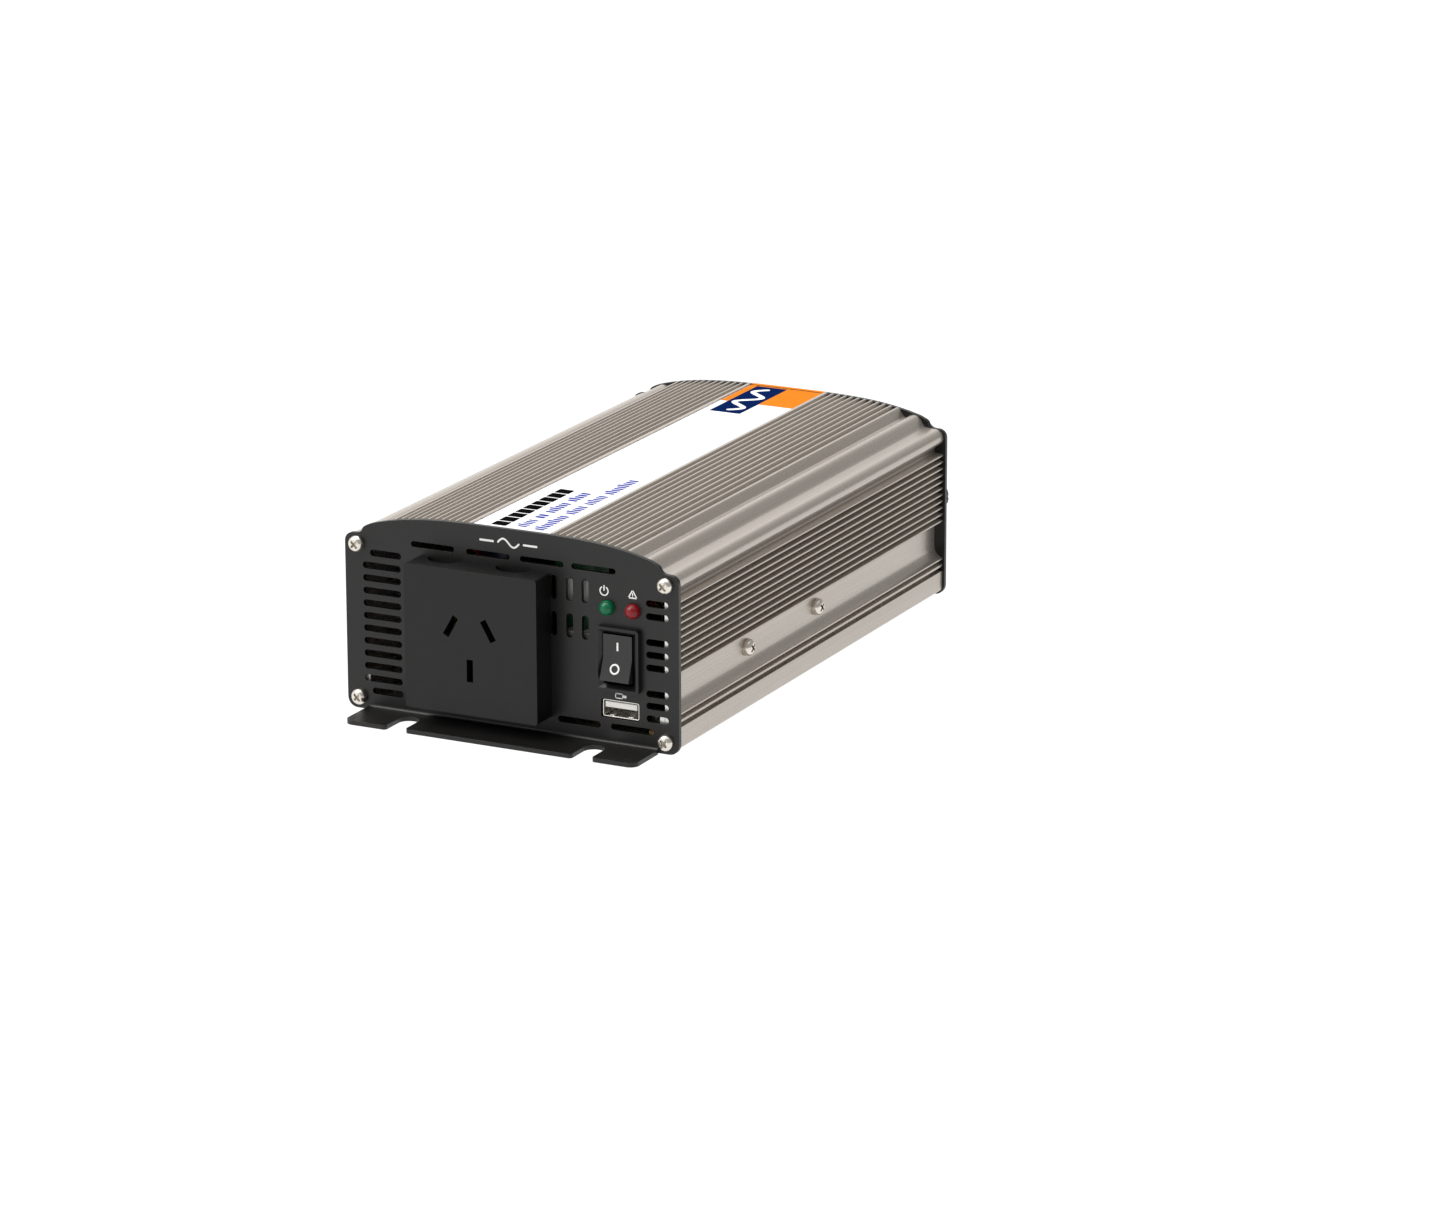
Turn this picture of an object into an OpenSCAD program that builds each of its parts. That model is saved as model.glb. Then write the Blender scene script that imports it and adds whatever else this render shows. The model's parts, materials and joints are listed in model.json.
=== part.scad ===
// Mains power inverter in an extruded finned case.
// +Z is up, +X is to the right of the outlet panel and +Y runs from the
// outlet panel to the battery-terminal panel. The origin is at the bottom
// centre of the whole object. Inside the modules y = 0 is the outer face of
// the outlet panel; place() moves everything to the object's own origin.

/* [Case] */
// Width across the end panels
panel_w = 122.4; // [122:0.1:123]
// Length between the outer faces of the two end panels
case_l = 206.5; // [206:0.5:220]
// Height of the crown of the end panels above the ground
crown_z = 68.5; // [68:0.1:69.5]
// How far the crown has dropped 50 mm away from the centre line
crown_drop = 4; // [3.6:0.1:4.4]
// Thickness of the steel sheet of the end panels and flanges
sheet_t = 1.5; // [1.4:0.1:1.5]

/* [Flanges] */
// Reach of each mounting flange past its panel
flange_reach = 16.3; // [15:0.1:18]
// Width of each mounting flange
flange_w = 107; // [106:0.2:110]
// Distance between the two slots of a flange
slot_spacing = 68.4; // [64:0.2:72]
// Width of a flange slot
slot_w = 7.3; // [6.5:0.1:8]
// Distance from the panel to the closed end of a slot
slot_back = 4; // [3.5:0.1:5]

/* [Fins] */
// Distance between two fins on the crown
top_pitch = 2.5; // [2.4:0.02:2.54]
// Depth of the grooves in the crown
top_depth = 1.9; // [1.2:0.1:2.2]
// Distance between two fins on a side
side_pitch = 2.36; // [2.32:0.01:2.36]

/* [Outlet] */
// Side of the square outlet block
outlet_w = 48.6; // [47:0.1:49]
// How far the outlet block stands out of the panel
outlet_out = 10; // [8:0.5:12]
// Distance of the active and neutral slots from the pin centre line
pin_x = 6.86; // [6.8:0.01:6.9]
// Height of the active and neutral slots above the pin centre
pin_up = 3.96; // [3.9:0.01:4]
// Depth of the earth slot under the pin centre
earth_down = 10.31; // [10.2:0.01:10.4]

/* [Switch] */
// Tilt of the rocker to each side of its middle position
rocker_tilt = 10; // [8:0.5:11]
// Radius of the rocker's pivot pins
pivot_r = 1; // [0.8:0.1:1.1]

/* [Fan] */
// Side of the square fan frame
fan_w = 50; // [48:0.5:50]
// Number of fan blades
blades = 7; // [5:1:9]
// Radius of the fan shaft
shaft_r = 1.5; // [1.2:0.1:1.6]

/* [Battery terminals] */
// Radius of the threaded studs
stud_r = 3; // [2.5:0.1:3]
// Radius of the screw-down knobs
knob_r = 8.2; // [7.6:0.1:8.6]
// Reach of the knobs past the rear panel
knob_out = 20.5; // [19:0.5:22]

/* [Hidden] */
$fn = 48;

hw = panel_w / 2;                 // half width of the panels
y1 = sheet_t;                     // front end of the extrusions
y2 = case_l - sheet_t;            // rear end of the extrusions
y_shift = -(case_l + knob_out - flange_reach) / 2;
wall_in = 55.4;                   // inner face of the case sides
side_tip = 60.3;                  // tips of the side fins
band_x = 57.2;                    // recessed flat band on the sides
tray_top = 9.3;                   // joint between cover and tray
boss_x = 56.55;                   // screw channels of the extrusions
boss_lo = 4.6;
boss_hi = 56.8;
boss_r = 2.9;
side_screw_y = [56.6, 109];
side_screw_z = 21.2;
out_x = -9.3;                     // centre of the outlet block
out_z = 31.35;
pin_cx = -9.6;                    // pin centre of the outlet
pin_cz = 32.5;
sw_x = 39.8;                      // centre of the switch
sw_z = 30.2;
pivot_y = 2;
usb_x = 39.9;
usb_z = 13;
led_x = [35.6, 44.9];
led_z = 46.9;
fan_x = -25;
fan_z = 32;
fan_y = y2 - 15;
term_x = [20, 44.9];              // positive, negative
term_z = 30;
earth_x = 32;
earth_z = 11.5;
board_z = 10.4;
board_t = 1.6;
top_z = board_z + board_t;
board_holes = [for (x = [-45, 45], y = [36, 106, 178]) [x, y]];
ctrl_holes = [[22, 20], [49, 8]];

// ---------- helpers ----------
module place() { translate([0, y_shift, 0]) children(); }
// a shape drawn in x and z, made solid from y = a to y = b
module prism(a, b) { translate([0, b, 0]) rotate([90, 0, 0]) linear_extrude(b - a) children(); }
module along_y(r, a, b, x, z) { translate([x, b, z]) rotate([90, 0, 0]) cylinder(r = r, h = b - a); }
module along_x(r, a, b, y, z) { translate([a, y, z]) rotate([0, 90, 0]) cylinder(r = r, h = b - a); }
module rrect(w, h, r) {
  square([w - 2 * r, h], center = true);
  square([w, h - 2 * r], center = true);
  for (i = [-1, 1], j = [-1, 1]) translate([i * (w / 2 - r), j * (h / 2 - r)]) circle(r);
}
module slot_x(x0, x1, z, h) {
  translate([x0 + h / 2, z - h / 2]) square([x1 - x0 - h, h]);
  for (x = [x0 + h / 2, x1 - h / 2]) translate([x, z]) circle(h / 2);
}
module slot_z(x, z0, z1, w) {
  translate([x - w / 2, z0 + w / 2]) square([w, z1 - z0 - w]);
  for (z = [z0 + w / 2, z1 - w / 2]) translate([x, z]) circle(w / 2);
}
module both() { children(); mirror([1, 0, 0]) children(); }
function arc(cx, cz, r, a0, a1, n) = [for (i = [0:n]) [cx + r * cos(a0 + (a1 - a0) * i / n), cz + r * sin(a0 + (a1 - a0) * i / n)]];
function flip(p) = [for (i = [len(p) - 1:-1:0]) [-p[i][0], p[i][1]]];
function arch(x) = crown_z - crown_drop * pow(abs(x) / 50, 3.5);

// smooth path through hand-set points, and a round wire along it
function at(p, i) = p[max(0, min(len(p) - 1, i))];
function spline(a, b, c, d, t) = 0.5 * (2 * b + (c - a) * t + (2 * a - 5 * b + 4 * c - d) * t * t + (3 * b - a - 3 * c + d) * t * t * t);
function path(p, n) = concat([for (i = [0:len(p) - 2]) for (j = [0:n - 1]) spline(at(p, i - 1), p[i], p[i + 1], at(p, i + 2), j / n)], [p[len(p) - 1]]);
function unit(v) = v / norm(v);
function tangent(p, i) = unit(at(p, i + 1) - at(p, i - 1));
function side_of(t) = unit(cross(t, abs(t[2]) < 0.9 ? [0, 0, 1] : [1, 0, 0]));
function normals(p, i, acc) = i == len(p) ? acc :
  let (t = tangent(p, i), n = acc[i - 1] - (acc[i - 1] * t) * t) normals(p, i + 1, concat(acc, [unit(n)]));
module wire(pts, r, n = 4, s = 8) {
  p = path(pts, n);
  ns = normals(p, 1, [side_of(tangent(p, 0))]);
  m = len(p);
  v = [for (i = [0:m - 1]) let (t = tangent(p, i), u = ns[i], w = cross(t, u)) for (k = [0:s - 1]) p[i] + r * (cos(360 * k / s) * u + sin(360 * k / s) * w)];
  f = concat(
    [[for (k = [0:s - 1]) k]],
    [[for (k = [s - 1:-1:0]) (m - 1) * s + k]],
    [for (i = [0:m - 2]) for (k = [0:s - 1]) [i * s + k, (i + 1) * s + k, (i + 1) * s + (k + 1) % s, i * s + (k + 1) % s]]);
  polyhedron(points = v, faces = f, convexity = 4);
}
// pan head cross-recess screw, head towards -Y at y = 0, shank into +Y
module pan_screw(r, head_r, head_h, len) {
  difference() {
    rotate([90, 0, 0]) rotate_extrude() polygon(concat([[0, 0], [head_r, 0], [head_r, head_h * 0.35]], arc(head_r * 0.35, head_h * 0.35, head_r * 0.65, 0, 90, 6), [[0, head_h * 0.35 + head_r * 0.65]]));
    for (a = [45, 135]) rotate([0, a, 0]) translate([-head_r * 0.55, -head_h - 2, -0.38]) cube([head_r * 1.1, head_h * 0.65 + 2, 0.76]);
  }
  rotate([-90, 0, 0]) cylinder(r = r, h = len);
}

// ---------- case ----------
// outline of an end panel, right half, from the bottom to the crown
function panel_half() = concat(
  [[0, 0.5]], arc(hw - 3.5, 4, 3.5, -90, 0, 6), arc(hw - 3, crown_z - 11.2, 3, 0, 90, 6),
  arc(57, crown_z - 5.5, 2.65, 270, 195, 5), [[54.1, crown_z - 5.75], [53.4, crown_z - 5.3], [52.4, crown_z - 4.85]],
  [for (x = [51.4:-2:1]) [x, arch(x)]]);
module panel_outline() { polygon(concat(panel_half(), flip(panel_half()))); }

// bent L section of a panel's foot, with the flange towards -Y
module flange() {
  difference() {
    union() {
      linear_extrude(sheet_t) difference() {
        union() {
          translate([-flange_w / 2, -flange_reach + 3]) square([flange_w, flange_reach - 3]);
          translate([-flange_w / 2 + 3, -flange_reach]) square([flange_w - 6, 4]);
          for (i = [-1, 1]) translate([i * (flange_w / 2 - 3), -flange_reach + 3]) circle(3);
        }
        for (i = [-1, 1]) translate([i * slot_spacing / 2, 0]) {
          translate([0, -slot_back - slot_w / 2]) circle(slot_w / 2);
          translate([-slot_w / 2, -flange_reach - 1]) square([slot_w, flange_reach + 1 - slot_back - slot_w / 2]);
          for (j = [-1, 1]) translate([j * slot_w / 2, -flange_reach]) difference() {
            translate([-1.2, -0.5]) square([2.4, 1.7]);
            translate([j * 1.2, 1.2]) circle(1.2);
          }
        }
      }
      // the bend: rounded outside, filleted inside
      translate([-flange_w / 2, 0, 0]) rotate([90, 0, 90]) linear_extrude(flange_w)
        polygon(concat(arc(sheet_t - 2.4, 2.4, 2.4, -90, 0, 6), [[sheet_t, 4], [0, 4]], arc(-1, 2.5, 1, 0, -90, 5), [[-1, 0]]));
    }
  }
}
module front_panel() {
  color([0.16, 0.155, 0.15]) {
    difference() {
      prism(0, sheet_t) difference() {
        panel_outline();
        translate([-flange_w / 2, 0]) square([flange_w, 4]);
        // louvre slots beside the outlet
        for (i = [0:9]) slot_x(-54.6, -40.4, 49.8 - 4.28 * i, 2.3);
        slot_x(-51.8, -40.2, 54.2, 2.3);
        slot_x(-51.8, -40.2, 7.1, 2.3);
        // slots along the top and the foot
        for (x = [-36.4, -15.9, 3.8, 22.6]) slot_x(x, x + 16, 59.1, 2);
        for (x = [17.2, 36.5]) slot_x(x, x + 15.6, 7.1, 2.2);
        // slots between outlet and switch
        for (x = [16, 21.8, 27.5], z = [35, 47.2]) slot_z(x, z, z + 8.15, 2.5);
        // slots at the right edge
        for (z = [50.1, 45.8, 37.2, 33, 28.7, 20, 15.9, 11.6]) slot_x(49.4, 57.4, z, 2.3);
        // outlet, switch, port and lamp openings
        translate([out_x, out_z]) square([42.2, 42.2], center = true);
        translate([sw_x, sw_z]) square([13.2, 19.2], center = true);
        translate([usb_x, usb_z]) rrect(13.9, 6.3, 0.8);
        for (x = led_x) translate([x, led_z]) circle(2.6);
        for (i = [-1, 1], z = [boss_lo, boss_hi]) translate([i * boss_x, z]) circle(1.7);
      }
    }
    flange();
  }
}
module rear_panel() {
  color([0.16, 0.155, 0.15]) translate([0, case_l, 0]) mirror([0, 1, 0]) {
    prism(0, sheet_t) difference() {
      panel_outline();
      translate([-flange_w / 2, 0]) square([flange_w, 4]);
      translate([fan_x, fan_z]) circle(23.4);
      for (i = [-1, 1], j = [-1, 1]) translate([fan_x + 20 * i, fan_z + 20 * j]) circle(2.2);
      for (x = term_x) translate([x, term_z]) circle(6.3);
      translate([earth_x, earth_z]) circle(1.7);
      for (x = [6, 12, 18, 24, 30, 36, 42, 48], z = [45.5]) slot_z(x, z, z + 10, 2.5);
      for (i = [-1, 1], z = [boss_lo, boss_hi]) translate([i * boss_x, z]) circle(1.7);
    }
    flange();
  }
}
// right half of the cover's outer outline, crown first, then down the side
function cover_half() = concat(
  [for (x = [0:2.4:14.4]) [x, arch(x) - 0.45]], [for (x = [14.4:2.4:43.2]) [x, arch(x) + 0.25]],
  // channel past the last fin, round rib, step, round shoulder, hollow
  [[43.3, arch(43.3) + 0.2], [43.7, 65.8], [44.1, 65.1], [44.6, 64.3], [45.2, 63.4], [45.9, 63.1], [46.7, 63.5], [47.5, 64.05], [48.4, 64.4], [49.4, 64.45], [50.3, 64.2], [51.1, 63.6], [51.8, 62.7], [52.4, 61.7], [53, 60.85], [53.7, 60.5], [54.5, 60.4], [56.5, 60.3]],
  arc(57.2, 57.2, 3.1, 80, -20, 10), [[59.4, 55.35], [58.5, 54.7], [57.6, 54], [57, 53.2], [56.9, 52.5], [57.3, 51.9]],
  // side fins, flat band with a hollow at its foot, two small fins
  [[side_tip - 0.35, 51.6], [side_tip, 51.3], [side_tip, 27.3], [side_tip - 0.3, 27], [band_x + 0.3, 26.8], [band_x, 26.5]],
  arc(band_x + 4.5, 18.2, 4.5, 180, 250, 8), [[side_tip, 13.9], [side_tip, 10.9], [57.8, 10.3], [57.8, tray_top], [wall_in, tray_top]]);
function cover_inside() = concat(
  [for (x = [0:4:48]) [x, arch(x) - 4.6]], [[51.2, 58.6], [52.2, 53.2], [wall_in, 52.4], [wall_in, tray_top - 1]]);
module cover_section() {
  difference() {
    union() {
      polygon(concat(flip(cover_half()), cover_half()));
      both() translate([boss_x, boss_hi]) circle(boss_r);
    }
    difference() {
      polygon(concat(flip(cover_inside()), cover_inside()));
      both() translate([boss_x, boss_hi]) circle(boss_r);
    }
    both() {
      translate([boss_x, boss_hi]) circle(1.45);
      for (i = [0:10]) let (x = 15.3 + top_pitch * (i + 0.5), z = arch(x))
        polygon([[x - 1.15, z + 0.6], [x + 1.15, z + 0.6], [x + 0.95, z + 0.15], [x + 0.8, z - 0.1], [x + 0.4, z - top_depth], [x - 0.4, z - top_depth], [x - 0.8, z - 0.1], [x - 0.95, z + 0.15]]);
      for (i = [0:9]) let (z = 28.69 + side_pitch * i)
        polygon([[side_tip + 0.4, z - 1.15], [side_tip, z - 0.95], [side_tip - 0.3, z - 0.78], [band_x + 0.3, z - 0.34], [band_x, z - 0.15], [band_x, z + 0.15], [band_x + 0.3, z + 0.34], [side_tip - 0.3, z + 0.78], [side_tip, z + 0.95], [side_tip + 0.4, z + 1.15]]);
      polygon([[side_tip + 0.4, 11.5], [side_tip, 11.7], [58.2, 12.3], [58.2, 12.8], [side_tip, 13.4], [side_tip + 0.4, 13.6]]);
    }
  }
}
module finned_cover() {
  color([0.63, 0.6, 0.55]) difference() {
    prism(y1, y2) cover_section();
    for (y = side_screw_y) { along_x(1.7, 54, 62, y, side_screw_z); along_x(1.7, -62, -54, y, side_screw_z); }
  }
}
module base_tray() {
  color([0.63, 0.6, 0.55]) difference() {
    prism(y1, y2) difference() {
      union() {
        translate([-59.4, 2]) square([118.8, 2.4]);
        both() {
          translate([52.6, 3]) square([7.8, tray_top - 3]);
          translate([59.4, 3]) circle(1);
          translate([52.6, 2]) square([6.8, 2]);
          translate([53.5, tray_top - 1]) square([1.8, 5.1]);
        }
      }
      both() {
        translate([boss_x, boss_lo]) circle(1.45);
        for (x = [8, 24, 40]) translate([x, 1]) square([8, 1.8]);
      }
    }
    for (p = concat(board_holes, ctrl_holes)) translate([p[0], p[1], 2.9]) cylinder(r = 1.3, h = 4);
  }
}
module top_label() {
  color([0.95, 0.95, 0.95]) prism(y1 + 0.3, y2 - 0.3)
    polygon(concat([for (x = [-14.3:2.2:14.3]) [x, arch(x) - 0.2]], [for (x = [14.3:-2.2:-14.3]) [x, arch(x) - 0.43]]));
}
module front_panel_screws() {
  color([0.75, 0.73, 0.7]) for (i = [-1, 1], z = [boss_lo, boss_hi]) translate([i * boss_x, 0, z]) pan_screw(1.4, 2.75, 1.9, 12);
}
module rear_panel_screws() {
  color([0.75, 0.73, 0.7]) for (i = [-1, 1], z = [boss_lo, boss_hi]) translate([i * boss_x, case_l, z]) rotate([0, 0, 180]) pan_screw(1.4, 2.75, 1.9, 12);
}
module side_screws() {
  color([0.75, 0.73, 0.7]) for (i = [-1, 1], y = side_screw_y) translate([i * band_x, y, side_screw_z]) rotate([0, 0, i * 90]) pan_screw(1.4, 2.9, 2, 9.2);
}

// ---------- outlet ----------
module pin_slots(w, h, g = 0) {
  for (i = [-1, 1]) translate([pin_cx + i * pin_x, pin_cz + pin_up]) rotate(i * 30) square([w + g, h + g], center = true);
  translate([pin_cx, pin_cz - earth_down]) square([w + g, h + g], center = true);
}
module outlet_body() {
  color([0.13, 0.13, 0.13]) difference() {
    union() {
      prism(-outlet_out, 0) translate([out_x, out_z]) rrect(outlet_w, outlet_w, 1);
      prism(-0.5, 13) translate([out_x, out_z]) square([41.8, 41.8], center = true);
    }
    prism(-outlet_out - 1, -4) pin_slots(2.3, 7.6);
    // contact chambers behind the face
    prism(-4.2, 14) pin_slots(5.4, 11);
    // finger notches of the latches at the top edge
    for (x = [-23.6, 1.5]) translate([x, 0, out_z + outlet_w / 2 - 1.6]) linear_extrude(3) intersection() { translate([0, 1.5]) circle(6.5); translate([-7, -7]) square([14, 7.2]); }
  }
}
module outlet_back() {
  color([0.3, 0.3, 0.3]) difference() {
    prism(13, 15) translate([out_x, out_z]) rrect(41.8, 41.8, 1);
    prism(12, 16) pin_slots(1.3, 6.6);
  }
}
module contact(len) {
  // sprung fork that grips a flat pin, with a solder tab through the back
  for (i = [-1, 1]) translate([i * 1.2 - 0.3, -3.6, -3]) cube([0.6, 12.6, 6]);
  translate([-1.5, 9, -3]) cube([3, 0.9, 6]);
  translate([-0.5, 9.9, -3]) cube([1, len - 9.9, 6]);
}
module line_contacts() {
  color([0.85, 0.7, 0.35]) for (i = [-1, 1]) translate([pin_cx + i * pin_x, 0, pin_cz + pin_up]) rotate([0, -i * 30, 0]) contact(21);
}
module earth_contact() { color([0.85, 0.7, 0.35]) translate([pin_cx, 0, pin_cz - earth_down]) contact(21); }

// ---------- switch ----------
module switch_bezel() {
  color([0.08, 0.08, 0.08]) difference() {
    union() {
      prism(-2, 0) translate([sw_x, sw_z]) rrect(15.6, 21.4, 1.2);
      prism(-0.5, 13) translate([sw_x, sw_z]) square([12.9, 19], center = true);
    }
    prism(-3, 8) translate([sw_x, sw_z]) square([10.8, 17.1], center = true);
    // the rim falls inwards on all four sides to the rocker
    intersection() {
      translate([sw_x, 0, sw_z - 12]) linear_extrude(24) polygon([[-6.91, -2.1], [6.91, -2.1], [5.35, -0.65], [-5.35, -0.65]]);
      translate([sw_x - 12, 0, sw_z]) rotate([90, 0, 90]) linear_extrude(24) polygon([[-2.1, -9.79], [-0.65, -8.5], [-0.65, 8.5], [-2.1, 9.79]]);
    }
    for (i = [-1, 1]) along_x(pivot_r + 0.05, sw_x + i * 5.9 - 0.5, sw_x + i * 5.9 + 0.5, pivot_y, sw_z);
    for (z = [-5.5, 0, 5.5]) translate([sw_x - 2.4, 7, sw_z + z - 0.4]) cube([4.8, 7, 0.8]);
  }
}
module switch_rocker() {
  t = tan(rocker_tilt);
  color([0.1, 0.1, 0.1]) translate([sw_x, pivot_y, sw_z]) rotate([-rocker_tilt, 0, 0]) {
    rotate([90, 0, 90]) translate([0, 0, -5.2]) linear_extrude(10.4)
      polygon([[-3.4, 0], [-3.4 - 7.6 * t, 7.6], [-0.8, 7.9], [0.2, 6.8], [0.4, 2], [2.4, 1.4], [2.4, -1.4], [0.4, -2], [0.2, -6.8], [-0.8, -7.9], [-3.4 - 7.6 * t, -7.6]]);
    along_x(pivot_r, -6.2, 6.2, 0, 0);
  }
}
module switch_tabs() {
  color([0.8, 0.78, 0.7]) for (z = [-5.5, 0, 5.5]) translate([sw_x - 2.4, 7.6, sw_z + z - 0.4]) cube([4.8, 13.4, 0.8]);
}

// ---------- lamps and port ----------
module lamp(x) {
  translate([x, 0, led_z]) rotate([90, 0, 0]) rotate_extrude()
    polygon(concat([[0, -9.5], [2.5, -9.5], [2.9, -9.5], [2.9, -8.5], [2.5, -8.5], [2.5, 0.6]], arc(0, 0.6, 2.5, 0, 90, 12)));
  for (i = [-1.27, 1.27]) translate([x + i - 0.25, 9.5, led_z - 0.25]) cube([0.5, 5.5, 0.5]);
}
module power_led() { color([0.05, 0.6, 0.3]) lamp(led_x[0]); }
module fault_led() { color([0.75, 0.1, 0.1]) lamp(led_x[1]); }
module usb_shell() {
  color([0.8, 0.79, 0.76]) {
    difference() {
      prism(0.7, 14) translate([usb_x, usb_z]) rrect(13.2, 5.8, 0.7);
      prism(-1, 13.5) translate([usb_x, usb_z]) rrect(12.5, 5.1, 0.45);
    }
    for (x = [-3.4, 3.4]) translate([usb_x + x - 0.9, 1.2, usb_z - 2.55]) rotate([12, 0, 0]) translate([0, 0, 0.05]) cube([1.8, 3.2, 0.25]);
  }
}
module usb_tongue() {
  color([0.9, 0.88, 0.85]) {
    prism(0.8, 13.5) translate([usb_x - 5.7, usb_z + 0.35]) square([11.4, 1.85]);
    for (i = [-1.5, -0.5, 0.5, 1.5]) translate([usb_x + i * 2.3 - 0.55, 2, usb_z + 0.2]) cube([1.1, 9, 0.15]);
  }
}
module control_board() {
  color([0.08, 0.35, 0.16]) difference() {
    translate([13.5, 2.6, usb_z - 4.5]) cube([39, 25, 1.6]);
    for (p = ctrl_holes) translate([p[0], p[1], 0]) cylinder(r = 1.6, h = 20);
  }
}

// ---------- boards and power stage ----------
module main_board() {
  color([0.1, 0.32, 0.14]) difference() {
    translate([-52.6, 30, board_z]) cube([105.2, 154, board_t]);
    for (p = board_holes) translate([p[0], p[1], 0]) cylinder(r = 1.6, h = 20);
  }
}
module board_standoffs() {
  color([0.8, 0.7, 0.4]) {
    for (p = board_holes) translate([p[0], p[1], 4.4]) difference() { cylinder(r = 3, h = board_z - 4.4, $fn = 6); translate([0, 0, -1]) cylinder(r = 1.6, h = 20); }
    for (p = ctrl_holes) translate([p[0], p[1], 4.4]) difference() { cylinder(r = 2.8, h = usb_z - 8.9, $fn = 6); translate([0, 0, -1]) cylinder(r = 1.6, h = 20); }
  }
}
module board_screws() {
  color([0.75, 0.73, 0.7]) {
    for (p = board_holes) translate([p[0], p[1], top_z]) rotate([-90, 0, 0]) pan_screw(1.25, 2.7, 1.8, 9);
    for (p = ctrl_holes) translate([p[0], p[1], usb_z - 2.9]) rotate([-90, 0, 0]) pan_screw(1.25, 2.2, 1.5, 7);
  }
}
module insulation_sheet() {
  color([0.85, 0.85, 0.8]) difference() {
    translate([-50, 31, 4.4]) cube([100, 150, 0.4]);
    for (p = board_holes) translate([p[0], p[1], 0]) cylinder(r = 3.6, h = 10);
  }
}
trafo = [[-20, 96], [22, 96]];
module transformer_cores() {
  color([0.2, 0.2, 0.21]) for (p = trafo) translate([p[0], p[1], top_z + 4]) difference() {
    translate([-19, -8, 0]) cube([38, 16, 37]);
    for (i = [-1, 1]) translate([i * 9.75 - 3.75, -9, 5.5]) cube([7.5, 18, 26]);
  }
}
module transformer_windings() {
  color([0.85, 0.75, 0.3]) for (p = trafo) translate([p[0], p[1], top_z + 9.7]) difference() {
    linear_extrude(25.6) rrect(26.4, 30, 5);
    translate([-6, -8, -1]) cube([12, 16, 30]);
  }
}
module transformer_bobbins() {
  color([0.12, 0.12, 0.12]) for (p = trafo) translate([p[0], p[1], top_z]) {
    translate([-17, -14, 1.2]) cube([34, 28, 2.8]);
    for (i = [-1, 1], j = [-2:2]) translate([i * 14, j * 5.6, 0]) cylinder(r = 0.6, h = 1.2);
  }
}
module choke_core() {
  color([0.85, 0.8, 0.3]) translate([-26, 144, top_z + 11.6]) rotate([90, 0, 0]) rotate_extrude() translate([5.6, -4.5]) square([4.4, 9]);
}
module choke_winding() {
  color([0.75, 0.4, 0.2]) translate([-26, 144, top_z + 11.6]) rotate([90, 0, 0]) rotate([0, 0, 120]) rotate_extrude(angle = 300) difference() {
    translate([4.4, -5.7]) square([6.8, 11.4]);
    translate([5.6, -4.5]) square([4.4, 9]);
  }
  color([0.75, 0.4, 0.2]) for (x = [-3, 3]) translate([-26 + x, 144, top_z]) cylinder(r = 0.6, h = 1.2);
}
module input_capacitors() {
  color([0.15, 0.2, 0.4]) for (x = [-2, 17, 36]) translate([x, 160, top_z]) rotate_extrude() polygon([[0, 0], [7.6, 0], [8, 0.5], [8, 1.8], [7.5, 2.3], [8, 2.8], [8, 25.4], [7.4, 26], [6.4, 25.6], [0, 25.6]]);
}
module bus_capacitor() {
  color([0.12, 0.12, 0.14]) translate([-28, 58, top_z]) rotate_extrude() polygon([[0, 0], [11.6, 0], [12, 0.5], [12, 2], [11.4, 2.6], [12, 3.2], [12, 35.2], [11.2, 36], [10, 35.5], [0, 35.5]]);
}
tr_y = [47, 73, 97, 123];
module transistor_packages() {
  color([0.07, 0.07, 0.07]) both() for (y = tr_y) translate([50.4, y - 5.1, 16]) cube([3.2, 10.2, 9.2]);
}
module transistor_tabs() {
  color([0.75, 0.75, 0.75]) both() for (y = tr_y) {
    difference() {
      translate([53.6, y - 5.1, 16]) cube([1.3, 10.2, 15.6]);
      along_x(1.8, 53, 56, y, 28.8);
    }
    for (i = [-2.54, 0, 2.54]) translate([51.6, y + i - 0.4, top_z]) cube([0.5, 0.8, 4]);
  }
}
module clamp_bars() {
  color([0.8, 0.8, 0.8]) both() difference() {
    translate([47.4, 39, 17.2]) cube([3, 92, 7.6]);
    for (y = side_screw_y) along_x(1.45, 46, 52, y, side_screw_z);
  }
}
module thermal_pads() {
  color([0.75, 0.75, 0.8]) both() difference() {
    translate([54.9, 40, 15]) cube([0.5, 90, 17]);
    for (y = side_screw_y) along_x(2, 54, 56, y, side_screw_z);
  }
}
module driver_card() { color([0.1, 0.4, 0.18]) translate([12.1, 8.4, usb_z - 2.9]) cube([19.8, 1.6, 47.9]); }
module driver_chips() {
  color([0.06, 0.06, 0.06]) for (z = [22, 38]) {
    translate([15, 10, z]) cube([6, 2.4, 10]);
    translate([24, 10, z]) cube([6, 2.4, 10]);
  }
}
module white_connectors() {
  color([0.93, 0.92, 0.88]) {
    for (x = [17.8, 23.6]) translate([x, 4, 46]) cube([4.4, 4.4, 7.5]);
    for (x = [17.8, 23.6]) translate([x, 4, 31.5]) cube([4.4, 4.4, 4.5]);
    translate([30, 19, usb_z - 2.9]) cube([12, 4, 7]);
  }
}
module blade_fuses() {
  color([0.9, 0.45, 0.1]) for (x = [-44, -36, -28]) translate([x, 166, top_z]) {
    translate([-2.5, -9.5, 5]) cube([5, 19, 12]);
    for (j = [-1, 1]) translate([-0.4, j * 6.5 - 2.4, 0]) cube([0.8, 4.8, 5]);
  }
}
module buzzer() {
  color([0.06, 0.06, 0.06]) translate([40, 58, top_z]) rotate_extrude() polygon([[1.2, 0], [6, 0], [6, 8.6], [5.6, 9], [1.2, 9]]);
}

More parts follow.
